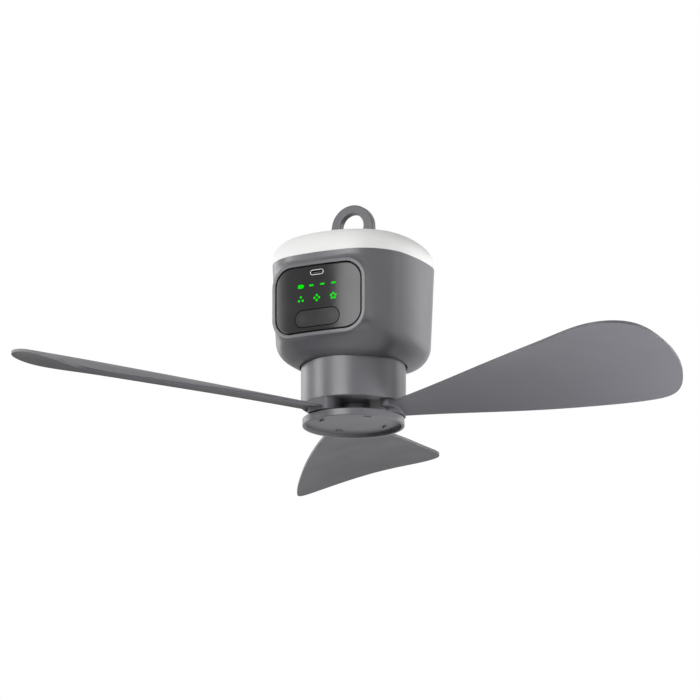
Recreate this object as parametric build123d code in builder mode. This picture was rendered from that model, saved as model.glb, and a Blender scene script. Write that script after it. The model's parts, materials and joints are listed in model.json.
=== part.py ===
from build123d import *
import os
from math import sqrt, sin, cos, tan, exp, radians

# Rechargeable ceiling fan with a lamp, hung by its eye. Millimetres, +Z up, panel towards -Y.
# Heights are measured from the centre of the hanging eye.
z_dome_top = -7.5
z_seam = -25.8

# Control panel, and how far the housing reaches past it on each side
panel_w = 57.4
panel_h = 40.4
panel_corner = 10.6
panel_thick = 3.8
panel_crown = 200.0
panel_edge = 0.8
panel_gap = 0.9
panel_side = 16.2
panel_above = 8.6
panel_below = 12.7
panel_proud = 1.7
panel_z = z_seam - panel_above - panel_h / 2
z_lip = panel_z - panel_h / 2 - panel_below

# Rounded-square housing
body_half = panel_w / 2 + panel_side
corner_out = 4.6
body_reach = body_half + corner_out
side_radius = 120.0
body_draft = 2.5
wall = 2.2
foot_round = 14.0
post_x = body_half - 8.1
post_y = 12.0
post_r = 3.2
post_hole = 9.0
rib_out = body_half - 3.3
rib_w = 2.0
z_post_low = z_lip + foot_round
screw_r = 1.25
screw_head_r = 2.4
small_screw_r = 0.9
fit = 0.05

# Raised boss round the panel, and the ledge behind it
panel_front = body_half + panel_proud
panel_back = panel_front - panel_thick
boss_lip = 2.3
boss_proud = 0.3
boss_depth = 0.4 * body_half
boss_flare = 10.0
boss_blend = 1.6
boss_edge = 0.5
ledge = 0.9
ledge_thick = 2.2

# Lamp dome
dome_crown = 200.0
dome_round = 13.0
dome_wall = 2.0
skirt_gap = 0.2
skirt_wall = 1.8
skirt_depth = 2.5
led_out_r = post_x - 1.0
led_in_r = led_out_r - 10.8
led_count = 24

# Hanging loop
eye_r = 7.8
loop_r = 14.0
loop_drop = 0.7
loop_thick = 5.0
loop_gap = 0.35
loop_edge = 0.8
loop_foot = (2 * loop_r + 9.2, 14.0, 2.4)
frame_thick = 2.5
loop_screw_x = loop_r + 2.6

# Things on the panel, across and down from its middle
usb_up = 0.3915 * panel_h
usb_w = 8.94
usb_h = 3.16
usb_wall = 0.3
row_pitch = 0.129 * panel_w
battery_up = 0.2 * panel_h
speed_up = 0.002 * panel_h
speed_pitch = 0.19 * panel_w
light_deep = 0.5
icon_r = 1.5
icon_dot_r = 0.74
key_w = 0.5125 * panel_w
key_h = 0.2475 * panel_h
key_drop = 0.297 * panel_h
key_gap = 0.5
key_thick = 2.8
key_pin_r = 1.0
key_pin_back = panel_back - 1.8
lug_thick = 1.2
lug_at = key_h / 2 + key_gap + 0.1 + lug_thick / 2
switch_x = 0.374 * key_w
nub_back = panel_front - 6.2
board_front = panel_back - 4.8
peg_x = 0.366 * panel_w
peg_y = 0.297 * panel_h

# Motor and rotor
neck_r = body_half - 13.4
neck_gap = 0.9
neck_length = 24.0
drum_wall = 2.5
drum_floor = 2.6
drum_top = z_lip + 1.2
seat_height = 6.2
plate_r = neck_r + 4.5
plate_thick = 3.0
plate_screw_at = neck_r + neck_gap + 1.8
tube_r = 7.0
bearing_r = 5.0
bearing_h = 4.0
shaft_r = 3.0
flux_wall = 2.6
magnet_thick = 2.4
air_gap = 0.6
slots = 12
poles = 14
stator_hub_r = 11.0
tooth_w = 3.6
tooth_tip = 2.0
slot_mouth = 2.2
coil_w = 5.8
coil_gap = 0.9
spigot_r = 8.0
z_neck_low = z_lip - neck_length
stack_low = z_neck_low + 7.5
stack_high = z_lip - 2.5
z_tube_low = z_neck_low + 4.9
z_shaft_low = z_neck_low - 0.9

# Blade sheet, its lengths as shares of the reach from the axis to the tip
blades = 3
blade_turn = 6.2
blade_reach = 214.0
blade_thick = 1.6
blade_mid = 0.56 * blade_reach
blade_span = 0.42 * blade_reach
camber_mid = 0.757 * blade_reach
camber_growth = 0.27
# Outline of one blade: outwards from the axis, and sideways towards the trailing edge
blade_outline = [
    (0.093, 0.031), (0.295, 0.052), (0.537, 0.0605), (0.733, 0.053), (0.87, 0.041), (0.95, 0.016),
    (0.998, -0.092), (0.985, -0.215), (0.925, -0.344), (0.853, -0.374), (0.712, -0.328),
    (0.51, -0.231), (0.338, -0.147), (0.093, -0.042),
]

# Blade roots, hub column and lock cap
root_height = 7.6
root_in_r = 24.5
root_half_angle = 28.0
root_step_angle = 17.0
root_step = 3.0
root_round = 5.4
root_inner_round = 0.5
pin_r = 1.5
pin_at = neck_r - 3.5
pin_angle = 14.0
column_r = 10.0
stem_r = 6.25
lug_r = 7.9
lug_half_angle = 17.0
lug_release = 45.0
cap_r = neck_r - 0.9
cap_thick = 4.5
cap_rim = 1.7
cap_recess = 2.2
cap_play = 0.4
z_cap_top = z_neck_low - root_height
z_cap_low = z_cap_top - cap_thick
root_low = z_cap_top + cap_play
lug_low = root_low + 3.1
stem_top = root_low + 5.1

# Levels and radii that follow from the ones above
z_floor = z_lip + wall
z_seat = z_lip + seat_height
z_plate_top = z_seat + plate_thick
z_drum_floor = z_neck_low + drum_floor
z_frame_low = z_seam - frame_thick
flux_r = neck_r - drum_wall
magnet_r = flux_r - flux_wall
stator_r = magnet_r - magnet_thick - air_gap
coil_length = stator_r - tooth_tip - stator_hub_r - 2 * coil_gap
z_shaft_top = z_plate_top + 2.0

# Battery cells and boards
cell_r = 0.205 * body_half
cell_length = 2 * (body_half - 12.4)
cell_pitch = 2 * cell_r + 0.6
cell_y = 2.0
tray_length = cell_length - 7.0
tray_width = 3 * cell_pitch + 3.0
tray_deep = cell_r + 2.2
tray_leg = 2.6
cell_z = z_plate_top + tray_leg + tray_deep
z_board = cell_z + cell_r + 1.1
board_thick = 1.6
pillar_r = 0.8


def rounded_square(inset):
    """Returns the housing outline as a sketch, pulled in all round by inset."""
    half, reach, side = body_half - inset, body_reach - inset, side_radius - inset
    run = ((side - reach) ** 2 - (side - half) ** 2) / (sqrt(2) * (side - half) - 2 * (side - reach))
    mid = run / sqrt(2)
    span = sqrt((mid - half + side) ** 2 + mid**2)
    tx = half - side + (mid - half + side) * side / span
    ty = mid * side / span
    corner = reach / sqrt(2)
    with BuildSketch() as outline:
        with BuildLine():
            for quarter in range(4):
                turned = [
                    Vector(x, y).rotate(Axis.Z, 90 * quarter)
                    for x, y in ((tx, -ty), (half, 0), (tx, ty), (corner, corner), (ty, tx))
                ]
                ThreePointArc(turned[0], turned[1], turned[2])
                ThreePointArc(turned[2], turned[3], turned[4])
        make_face()
    return outline.sketch


def facing(y, z=panel_z):
    """Returns a plane that looks out of the panel at depth y, with its middle at height z."""
    return Plane(origin=(0, -y, z), x_dir=(1, 0, 0), z_dir=(0, -1, 0))


def crown_drop(x):
    """Returns how far the panel face falls back at x from its middle."""
    return panel_crown - sqrt(panel_crown**2 - x**2)


def wedges(half_angle, turn):
    """Returns two opposite pie wedges about the axis as a sketch, turned by turn degrees."""
    reach = 20 * tan(radians(half_angle))
    with BuildSketch() as pair:
        for flip in (0, 180):
            points = ((0, 0), (20, -reach), (20, reach))
            corners = [Vector(x, y).rotate(Axis.Z, turn + flip) for x, y in points]
            with BuildLine():
                Polyline(*corners, close=True)
            make_face()
    return pair.sketch


def save(node, name):
    """Labels one node and writes it to its own file."""
    node.part.label = name
    export_step(node.part, f"parts/{name}.step")


os.makedirs("parts", exist_ok=True)

# Housing: tapered shell, panel boss, ledge behind the panel, seat for the motor and four posts
posts = [(x * post_x, y * post_y) for x in (1, -1) for y in (1, -1)]
with BuildPart() as housing:
    with BuildSketch(Plane.XY.offset(z_seam)):
        add(rounded_square(0))
    extrude(amount=z_lip - z_seam, taper=body_draft)
    fillet(housing.faces().sort_by(Axis.Z)[0].edges(), radius=foot_round)
    with BuildPart() as boss:
        with BuildSketch(facing(panel_front + boss_proud)):
            RectangleRounded(panel_w + 2 * boss_lip, panel_h + 2 * boss_lip, panel_corner + boss_lip)
        extrude(amount=-boss_depth, taper=-boss_flare)
        with Locations((0, panel_crown - panel_front - boss_proud, panel_z)):
            Cylinder(panel_crown, 4 * panel_h, mode=Mode.INTERSECT)
        fillet(boss.faces().sort_by(Axis.Y)[0].edges(), radius=boss_edge)
    fillet(housing.edges(Select.NEW), radius=boss_blend)
    with BuildPart(mode=Mode.SUBTRACT) as cavity:
        with BuildSketch(Plane.XY.offset(z_seam)):
            add(rounded_square(wall))
        extrude(amount=z_floor - z_seam, taper=body_draft)
        fillet(cavity.faces().sort_by(Axis.Z)[0].edges(), radius=foot_round - wall)
        with BuildSketch(Plane.XY.offset(z_floor)):
            Circle(plate_r)
        extrude(amount=z_seat - z_floor, mode=Mode.SUBTRACT)
    with BuildSketch(facing(panel_back)):
        RectangleRounded(panel_w + 2 * boss_lip, panel_h + 2 * boss_lip, panel_corner + boss_lip)
    extrude(amount=-ledge_thick)
    with BuildSketch(facing(panel_back)):
        RectangleRounded(panel_w + 2 * panel_gap, panel_h + 2 * panel_gap, panel_corner + panel_gap)
    extrude(amount=2 * wall + boss_depth, mode=Mode.SUBTRACT)
    with BuildSketch(facing(panel_back)):
        RectangleRounded(panel_w - 2 * ledge, panel_h - 2 * ledge, panel_corner - ledge)
    extrude(amount=-boss_depth, mode=Mode.SUBTRACT)
    with BuildSketch(Plane.XY.offset(z_lip)):
        Circle(neck_r + neck_gap)
    extrude(amount=seat_height, mode=Mode.SUBTRACT)
    with BuildSketch(Plane.XY.offset(z_post_low)):
        with Locations(*posts):
            Circle(post_r)
        with Locations(*[(x * (post_x + rib_out) / (2 * post_x), y) for x, y in posts]):
            Rectangle(rib_out - post_x, rib_w)
    extrude(amount=z_frame_low - z_post_low)
    with BuildSketch(Plane.XY.offset(z_frame_low)):
        with Locations(*posts):
            Circle(screw_r)
    extrude(amount=-post_hole, mode=Mode.SUBTRACT)
    with BuildSketch(Plane.XY.offset(z_seat)):
        with PolarLocations(plate_screw_at, 4, start_angle=45):
            Circle(small_screw_r)
    extrude(amount=-3, mode=Mode.SUBTRACT)
save(housing, "housing")

# Lamp dome: crowned shell with a skirt that drops inside the housing and a slot for the loop
with BuildPart() as diffuser_dome:
    for inset, low, top in ((0, z_seam, z_dome_top), (dome_wall, z_seam, z_dome_top - dome_wall)):
        with BuildPart(mode=Mode.ADD if inset == 0 else Mode.SUBTRACT) as shell:
            with BuildSketch(Plane.XY.offset(low)):
                add(rounded_square(inset))
            extrude(amount=top - low + 1)
            with Locations((0, 0, top - dome_crown)):
                Sphere(dome_crown, rotation=(90, 0, 0), mode=Mode.INTERSECT)
            fillet(shell.faces().sort_by(Axis.Z)[-1].edges(), radius=dome_round - inset)
    with BuildSketch(Plane.XY.offset(z_seam)):
        add(rounded_square(wall + skirt_gap))
        add(rounded_square(wall + skirt_gap + skirt_wall), mode=Mode.SUBTRACT)
    extrude(amount=-skirt_depth)
    with BuildSketch(Plane.XY.offset(z_seam)):
        add(rounded_square(dome_wall - 0.2))
        add(rounded_square(wall + skirt_gap + skirt_wall), mode=Mode.SUBTRACT)
    extrude(amount=1.4)
    with BuildSketch(Plane.XY.offset(z_dome_top - 2 * dome_wall)):
        Rectangle(2 * (loop_r + loop_gap), loop_thick + 2 * loop_gap)
    extrude(amount=3 * dome_wall, mode=Mode.SUBTRACT)
save(diffuser_dome, "diffuser_dome")

# Top frame: plate across the housing that carries the loop, the lamp board and the housing
with BuildPart() as top_frame:
    with BuildSketch(Plane.XY.offset(z_frame_low)):
        add(rounded_square(wall + 2 * skirt_gap + skirt_wall))
        with Locations(*posts):
            Circle(screw_r + 0.3, mode=Mode.SUBTRACT)
        with Locations((loop_screw_x, 0), (-loop_screw_x, 0)):
            Circle(small_screw_r, mode=Mode.SUBTRACT)
        with Locations((0, 24)):
            RectangleRounded(16, 6, 2, mode=Mode.SUBTRACT)
    extrude(amount=frame_thick)
save(top_frame, "top_frame")

with BuildPart() as frame_screws:
    with Locations(*[(x, y, z_seam) for x, y in posts]):
        Cylinder(screw_head_r, 1.4, align=(Align.CENTER, Align.CENTER, Align.MIN))
        Cylinder(screw_r, 8, align=(Align.CENTER, Align.CENTER, Align.MAX))
save(frame_screws, "frame_screws")

# Hanging loop: eye on two straight legs, with a foot screwed to the frame
with BuildPart() as hanging_loop:
    with BuildSketch(Plane.XZ.offset(-loop_thick / 2)):
        with Locations((0, -loop_drop)):
            Circle(loop_r)
        with Locations((0, -loop_drop)):
            Rectangle(2 * loop_r, -loop_drop - z_seam, align=(Align.CENTER, Align.MAX))
        Circle(eye_r, mode=Mode.SUBTRACT)
    extrude(amount=loop_thick)
    rim = hanging_loop.edges().filter_by(lambda e: e.center().Z > z_dome_top and abs(e.center().Y) > 1)
    fillet(rim, radius=loop_edge)
    with Locations((0, 0, z_seam)):
        Box(*loop_foot, align=(Align.CENTER, Align.CENTER, Align.MIN))
    with Locations((loop_screw_x, 0, z_seam), (-loop_screw_x, 0, z_seam)):
        Cylinder(small_screw_r, 9, mode=Mode.SUBTRACT)
save(hanging_loop, "hanging_loop")

with BuildPart() as loop_screws:
    with Locations((loop_screw_x, 0, z_seam + loop_foot[2]), (-loop_screw_x, 0, z_seam + loop_foot[2])):
        Cylinder(1.9, 1.2, align=(Align.CENTER, Align.CENTER, Align.MIN))
        Cylinder(small_screw_r, 6, align=(Align.CENTER, Align.CENTER, Align.MAX))
save(loop_screws, "loop_screws")

# Lamp board: ring of lamps on the frame, under the dome
with BuildPart() as led_board:
    with BuildSketch(Plane.XY.offset(z_seam)):
        Circle(led_out_r)
        Circle(led_in_r, mode=Mode.SUBTRACT)
    extrude(amount=board_thick)
save(led_board, "led_board")

with BuildPart() as led_chips:
    with BuildSketch(Plane.XY.offset(z_seam + board_thick)):
        with PolarLocations((led_in_r + led_out_r) / 2, led_count):
            Rectangle(2.8, 3.5)
    extrude(amount=0.8)
save(led_chips, "led_chips")

# Control panel: crowned slab with openings for the socket, the key and the small lights
def icon_dots(count):
    """Returns the middles of one speed sign's dots, round its own centre."""
    angles = [radians(360 * n / count) for n in range(count)]
    return [(icon_r * sin(a), icon_r * cos(a)) for a in angles]


def light_shapes(kind):
    """Returns the outlines of the small lights of one row as a sketch in the panel's plane."""
    with BuildSketch() as lights:
        if kind == "battery":
            with Locations((-1.5 * row_pitch, battery_up)):
                RectangleRounded(3.6, 2.3, 0.5)
            with Locations((-1.5 * row_pitch + 2.05, battery_up)):
                Rectangle(0.6, 1.1)
            with Locations(*[(row_pitch * n, battery_up) for n in (-0.5, 0.5, 1.5)]):
                RectangleRounded(3.0, 1.05, 0.45)
        else:
            for place, count in ((-1, 3), (0, 4), (1, 5)):
                with Locations(*[(speed_pitch * place + x, speed_up + y) for x, y in icon_dots(count)]):
                    Circle(icon_dot_r)
    return lights.sketch


with BuildPart() as control_panel:
    with BuildSketch(facing(panel_back)):
        RectangleRounded(panel_w, panel_h, panel_corner)
    extrude(amount=panel_front - panel_back)
    with Locations((0, panel_crown - panel_front, panel_z)):
        Cylinder(panel_crown, 2 * panel_h, mode=Mode.INTERSECT)
    fillet(control_panel.faces().sort_by(Axis.Y)[0].edges(), radius=panel_edge)
    with BuildSketch(facing(panel_back)):
        with Locations((0, usb_up)):
            SlotOverall(usb_w + 0.3, usb_h + 0.3)
        with Locations((0, -key_drop)):
            SlotOverall(key_w + 2 * key_gap, key_h + 2 * key_gap)
    extrude(amount=2 * wall + boss_depth, mode=Mode.SUBTRACT)
    with BuildSketch(facing(panel_front - light_deep - crown_drop(1.5 * row_pitch))):
        add(light_shapes("battery"))
        add(light_shapes("speed"))
    extrude(amount=3, mode=Mode.SUBTRACT)
    with BuildSketch(facing(panel_back)):
        with Locations(*[(x * peg_x, y * peg_y) for x in (1, -1) for y in (1, -1)]):
            Circle(1.6)
    extrude(amount=-(panel_back - board_front))
save(control_panel, "control_panel")

for row in ("battery", "speed"):
    with BuildPart() as lights:
        with BuildSketch(facing(panel_front - light_deep - crown_drop(1.5 * row_pitch))):
            add(light_shapes(row))
        extrude(amount=3)
        with Locations((0, panel_crown - panel_front, panel_z)):
            Cylinder(panel_crown, 2 * panel_h, mode=Mode.INTERSECT)
    save(lights, f"{row}_lights")

# Key: rocks on an upright pin behind the panel, carried by two lugs
with BuildPart() as rocker_key:
    with BuildSketch(facing(panel_front - key_thick, panel_z - key_drop)):
        SlotOverall(key_w, key_h)
    extrude(amount=2 * key_thick)
    with Locations((0, panel_crown - panel_front, panel_z)):
        Cylinder(panel_crown, 2 * panel_h, mode=Mode.INTERSECT)
    with Locations((0, -(panel_front - key_thick + key_pin_back) / 2, panel_z - key_drop)):
        Box(2 * key_pin_r, panel_front - key_thick - key_pin_back, key_h - 3)
    with Locations((0, -key_pin_back, panel_z - key_drop)):
        Cylinder(key_pin_r, 2 * lug_at + lug_thick + 0.4)
    with BuildSketch(facing(panel_front - key_thick, panel_z - key_drop)):
        with Locations((switch_x, 0), (-switch_x, 0)):
            Circle(1.5)
    extrude(amount=-(panel_front - key_thick - nub_back))
save(rocker_key, "rocker_key")

with BuildPart() as key_lugs:
    for side in (1, -1):
        with Locations((0, -panel_back, panel_z - key_drop + side * lug_at)):
            lug_deep = panel_back - key_pin_back + 2.2
            Box(6, lug_deep, lug_thick, align=(Align.CENTER, Align.MIN, Align.CENTER))
    with Locations((0, -key_pin_back, panel_z - key_drop)):
        Cylinder(key_pin_r + fit, 2 * key_h, mode=Mode.SUBTRACT)
save(key_lugs, "key_lugs")

# Board behind the panel with the socket and the two switches
with BuildPart() as control_board:
    with BuildSketch(facing(board_front)):
        RectangleRounded(panel_w - 2 * ledge - 4, panel_h - 2 * ledge - 4, 5)
    extrude(amount=-board_thick)
save(control_board, "control_board")

with BuildPart() as key_switches:
    with BuildSketch(facing(board_front, panel_z - key_drop)):
        with Locations((switch_x, 0), (-switch_x, 0)):
            Rectangle(4.5, 4.5)
    extrude(amount=1.2)
    with BuildSketch(facing(board_front + 1.2, panel_z - key_drop)):
        with Locations((switch_x, 0), (-switch_x, 0)):
            Circle(1.2)
    extrude(amount=0.6)
save(key_switches, "key_switches")

with BuildPart() as usb_shell:
    with BuildSketch(facing(board_front, panel_z + usb_up)):
        SlotOverall(usb_w, usb_h)
    extrude(amount=panel_front - board_front)
    with BuildSketch(facing(board_front + 1, panel_z + usb_up)):
        SlotOverall(usb_w - 2 * usb_wall, usb_h - 2 * usb_wall)
    extrude(amount=panel_front - board_front, mode=Mode.SUBTRACT)
save(usb_shell, "usb_shell")

with BuildPart() as usb_tongue:
    with BuildSketch(facing(board_front + 1, panel_z + usb_up)):
        Rectangle(6.6, 0.7)
    extrude(amount=panel_front - board_front - 1.8)
save(usb_tongue, "usb_tongue")

# Battery: three cells lying in a tray that stands on the motor plate
cells = [(0, cell_y + cell_pitch * n, cell_z) for n in (-1, 0, 1)]
with BuildPart() as battery_cells:
    with Locations(*cells):
        Cylinder(cell_r, cell_length, rotation=(0, 90, 0))
    ends = battery_cells.edges().filter_by(GeomType.CIRCLE)
    fillet(ends, radius=0.8)
save(battery_cells, "battery_cells")

with BuildPart() as battery_tray:
    with Locations((0, cell_y, cell_z)):
        Box(tray_length, tray_width, tray_deep, align=(Align.CENTER, Align.CENTER, Align.MAX))
    with Locations(*cells):
        Cylinder(cell_r, 2 * cell_length, rotation=(0, 90, 0), mode=Mode.SUBTRACT)
    with Locations((0, cell_y, cell_z - tray_deep + 3.2)):
        Box(
            tray_length - 8, 3 * cell_pitch - 4, 20,
            align=(Align.CENTER, Align.CENTER, Align.MIN), mode=Mode.SUBTRACT,
        )
    with Locations(*[(x * 18, cell_y + y * 18, cell_z - tray_deep) for x in (1, -1) for y in (1, -1)]):
        Cylinder(2.5, tray_leg, align=(Align.CENTER, Align.CENTER, Align.MAX))
save(battery_tray, "battery_tray")

with BuildPart() as cell_tabs:
    for side in (1, -1):
        with Locations((side * (cell_length / 2), cell_y, cell_z)):
            outward = Align.MIN if side > 0 else Align.MAX
            Box(0.4, 2 * cell_pitch + 9, 6, align=(outward, Align.CENTER, Align.CENTER))
save(cell_tabs, "cell_tabs")

# Main board over the cells, on four pillars from the tray
with BuildPart() as board_pillars:
    pillar_x, pillar_y = tray_length / 2 - 2, tray_width / 2 - pillar_r - 0.1
    with Locations(*[(x * pillar_x, cell_y + y * pillar_y, cell_z) for x in (1, -1) for y in (1, -1)]):
        Cylinder(pillar_r, z_board - cell_z, align=(Align.CENTER, Align.CENTER, Align.MIN))
save(board_pillars, "board_pillars")

with BuildPart() as main_board:
    with Locations((0, cell_y, z_board)):
        Box(tray_length, tray_width, board_thick, align=(Align.CENTER, Align.CENTER, Align.MIN))
save(main_board, "main_board")

with BuildPart() as board_parts:
    with Locations((0, cell_y, z_board + board_thick)):
        Box(9, 9, 1.4, align=(Align.CENTER, Align.CENTER, Align.MIN))
        blocks = ((-20, 10, 10, 6, 7), (20, 10, 8, 6, 6), (-18, -12, 7, 7, 3.5), (15, -12, 12, 5, 5))
        for x, y, w, d, h in blocks:
            with Locations((x, y, 0)):
                Box(w, d, h, align=(Align.CENTER, Align.CENTER, Align.MIN))
        with Locations((0, 14, 0)):
            Cylinder(4, 9, align=(Align.CENTER, Align.CENTER, Align.MIN))
save(board_parts, "board_parts")

# Motor plate, bearing tube, bearings and stator, all fixed to the housing
with BuildPart() as motor_plate:
    with BuildSketch(Plane.XY.offset(z_seat)):
        Circle(plate_r)
        Circle(tube_r, mode=Mode.SUBTRACT)
        with PolarLocations(plate_screw_at, 4, start_angle=45):
            Circle(small_screw_r + 0.2, mode=Mode.SUBTRACT)
        with PolarLocations(21, 6):
            Circle(4, mode=Mode.SUBTRACT)
    extrude(amount=plate_thick)
save(motor_plate, "motor_plate")

with BuildPart() as plate_screws:
    with PolarLocations(plate_screw_at, 4, start_angle=45):
        with Locations((0, 0, z_plate_top)):
            Cylinder(1.7, 1.2, align=(Align.CENTER, Align.CENTER, Align.MIN))
            Cylinder(small_screw_r, 5.5, align=(Align.CENTER, Align.CENTER, Align.MAX))
save(plate_screws, "plate_screws")

with BuildPart() as bearing_tube:
    with BuildSketch(Plane.XY.offset(z_tube_low)):
        Circle(tube_r)
    extrude(amount=z_plate_top - z_tube_low)
    with BuildSketch(Plane.XY.offset(z_seat)):
        Circle(12)
    extrude(amount=-2)
    with BuildSketch(Plane.XY.offset(z_tube_low)):
        Circle(bearing_r)
    extrude(amount=z_plate_top - z_tube_low, mode=Mode.SUBTRACT)
save(bearing_tube, "bearing_tube")

for name, low in (("upper_bearing", z_plate_top - bearing_h), ("lower_bearing", z_tube_low)):
    with BuildPart() as bearing:
        with BuildSketch(Plane.XY.offset(low)):
            Circle(bearing_r)
            Circle(shaft_r + fit, mode=Mode.SUBTRACT)
        extrude(amount=bearing_h)
    save(bearing, name)

with BuildPart() as stator_core:
    with BuildSketch(Plane.XY.offset(stack_low)):
        Circle(stator_hub_r)
        with PolarLocations(0, slots):
            with Locations((stator_r / 2, 0)):
                Rectangle(stator_r - tooth_tip, tooth_w)
        with BuildSketch(mode=Mode.ADD):
            Circle(stator_r)
            Circle(stator_r - tooth_tip, mode=Mode.SUBTRACT)
            with PolarLocations(stator_r, slots, start_angle=180 / slots):
                Rectangle(8, slot_mouth, mode=Mode.SUBTRACT)
        Circle(tube_r, mode=Mode.SUBTRACT)
    extrude(amount=stack_high - stack_low)
save(stator_core, "stator_core")

with BuildPart() as stator_windings:
    with PolarLocations(0, slots):
        with Locations(((stator_hub_r + stator_r - tooth_tip) / 2, 0, (stack_low + stack_high) / 2)):
            Box(coil_length, coil_w, stack_high - stack_low + 3)
            Box(2 * coil_length, tooth_w, stack_high - stack_low, mode=Mode.SUBTRACT)
save(stator_windings, "stator_windings")

# Rotor: neck drum with its flux ring, magnets, shaft and hub column
with BuildPart() as rotor_drum:
    with BuildSketch(Plane.XY.offset(z_neck_low)):
        Circle(neck_r)
    extrude(amount=drum_top - z_neck_low)
    with BuildSketch(Plane.XY.offset(z_drum_floor)):
        Circle(flux_r)
    extrude(amount=drum_top - z_drum_floor, mode=Mode.SUBTRACT)
    fillet(rotor_drum.faces().sort_by(Axis.Z)[0].edges(), radius=0.4)
    with BuildSketch(Plane.XY.offset(z_neck_low)):
        Circle(spigot_r)
        for side in (1, -1):
            with PolarLocations(pin_at, blades, start_angle=blade_turn + side * pin_angle):
                Circle(pin_r)
    extrude(amount=drum_floor, mode=Mode.SUBTRACT)
save(rotor_drum, "rotor_drum")

with BuildPart() as flux_ring:
    with BuildSketch(Plane.XY.offset(z_drum_floor)):
        Circle(flux_r)
        Circle(magnet_r, mode=Mode.SUBTRACT)
    extrude(amount=stack_high + 2 - z_drum_floor)
save(flux_ring, "flux_ring")

with BuildPart() as magnets:
    with BuildSketch(Plane.XY.offset(stack_low - 1)):
        Circle(magnet_r)
        Circle(stator_r + air_gap, mode=Mode.SUBTRACT)
        with PolarLocations(magnet_r, poles):
            Rectangle(12, 0.9, mode=Mode.SUBTRACT)
    extrude(amount=stack_high - stack_low + 2)
save(magnets, "magnets")

with BuildPart() as shaft:
    with BuildSketch(Plane.XY.offset(z_shaft_low)):
        Circle(shaft_r)
    extrude(amount=z_shaft_top - z_shaft_low)
    fillet(shaft.faces().sort_by(Axis.Z)[-1].edges(), radius=0.5)
save(shaft, "shaft")

with BuildPart() as shaft_clip:
    with BuildSketch(Plane.XY.offset(z_plate_top + 0.4)):
        Circle(shaft_r + 1.6)
        Circle(shaft_r, mode=Mode.SUBTRACT)
        with Locations((shaft_r, 0)):
            Rectangle(6, 2.4, mode=Mode.SUBTRACT)
    extrude(amount=0.8)
save(shaft_clip, "shaft_clip")

with BuildPart() as hub_column:
    with BuildSketch(Plane.XY.offset(root_low)):
        Circle(column_r)
    extrude(amount=z_neck_low - root_low)
    with BuildSketch(Plane.XY.offset(z_neck_low)):
        Circle(spigot_r)
    extrude(amount=drum_floor)
    with BuildSketch(Plane.XY.offset(z_shaft_low)):
        Circle(shaft_r)
    extrude(amount=20, mode=Mode.SUBTRACT)
    with BuildSketch(Plane.XY.offset(root_low)):
        Circle(stem_r + fit)
        with BuildSketch(mode=Mode.ADD):
            Circle(lug_r + 0.4)
            add(wedges(lug_half_angle + 2, lug_release), mode=Mode.INTERSECT)
    extrude(amount=stem_top - root_low + 0.4, mode=Mode.SUBTRACT)
    with BuildSketch(Plane.XY.offset(lug_low - 0.3)):
        Circle(lug_r + 0.4)
    extrude(amount=stem_top - lug_low + 0.7, mode=Mode.SUBTRACT)
save(hub_column, "hub_column")

# Blades: a twisted, cambered sheet cut to its outline, on a stepped root block with two pins
def sheet_section(rho):
    """Returns the blade sheet's section at distance rho from the axis, as a sketch."""
    s = (rho - blade_mid) / blade_span
    across = -blade_reach * (0.05 + 0.07 * s)
    height = z_neck_low + blade_reach * (0.005 + 0.023 * s - 0.004 * s**2)
    pitch = radians(17.8 + 4.0 * s - 2.0 * s**2)
    bend = camber_mid * exp(camber_growth * s)
    centre = (across - bend * sin(pitch), height - bend * cos(pitch))
    low, high = -min(0.03 * blade_reach + 0.5 * rho, 0.43 * blade_reach), 0.1 * blade_reach
    arcs = []
    for radius in (bend + blade_thick / 2, bend - blade_thick / 2):
        arcs.append([
            (p, centre[1] + sqrt(radius**2 - (p - centre[0]) ** 2)) for p in (low, (low + high) / 2, high)
        ])
    with BuildSketch(Plane(origin=(rho, 0, 0), x_dir=(0, 1, 0), z_dir=(1, 0, 0))) as section:
        with BuildLine():
            ThreePointArc(*arcs[0])
            Line(arcs[0][2], arcs[1][2])
            ThreePointArc(*arcs[1])
            Line(arcs[1][0], arcs[0][0])
        make_face()
    return section.sketch


def root_sector(start, end):
    """Returns the part of the root ring between two angles, with rounded ends, as a sketch."""
    outer = neck_r - 0.1
    with BuildSketch() as sector:
        Circle(outer)
        Circle(root_in_r, mode=Mode.SUBTRACT)
        with BuildSketch(mode=Mode.INTERSECT):
            with BuildLine():
                far = [(2 * outer * cos(radians(a)), 2 * outer * sin(radians(a))) for a in (start, end)]
                Polyline((0, 0), *far, close=True)
            make_face()
        outside = sector.vertices().filter_by(lambda v: Vector(v).length > (root_in_r + outer) / 2)
        fillet(outside, radius=root_round)
        inside = sector.vertices().filter_by(lambda v: Vector(v).length < root_in_r + 0.1)
        fillet(inside, radius=root_inner_round)
    return sector.sketch


with BuildPart() as blade:
    with BuildPart() as sheet:
        for share in (0.12, 0.28, 0.47, 0.66, 0.84, 1.04):
            add(sheet_section(share * blade_reach))
        loft()
        with BuildSketch(Plane.XY.offset(z_cap_low)):
            outline = [(blade_reach * out, blade_reach * side) for out, side in blade_outline]
            with BuildLine():
                Spline(*outline)
                Line(outline[-1], outline[0])
            make_face()
        extrude(amount=0.25 * blade_reach, mode=Mode.INTERSECT)
    with BuildSketch(Plane.XY.offset(root_low)):
        add(root_sector(-root_step_angle, root_half_angle))
    extrude(amount=root_step)
    with BuildSketch(Plane.XY.offset(root_low + root_step)):
        add(root_sector(-root_half_angle, root_half_angle))
    extrude(amount=z_neck_low - root_low - root_step)
    with BuildSketch(Plane.XY.offset(z_neck_low)):
        for side in (1, -1):
            with PolarLocations(pin_at, 1, start_angle=side * pin_angle):
                Circle(pin_r)
    extrude(amount=drum_floor - 0.2)

for number in range(blades):
    with BuildPart() as turned:
        add(blade.part, rotation=(0, 0, blade_turn + 360 / blades * number))
    save(turned, f"blade_{number + 1}")

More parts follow.
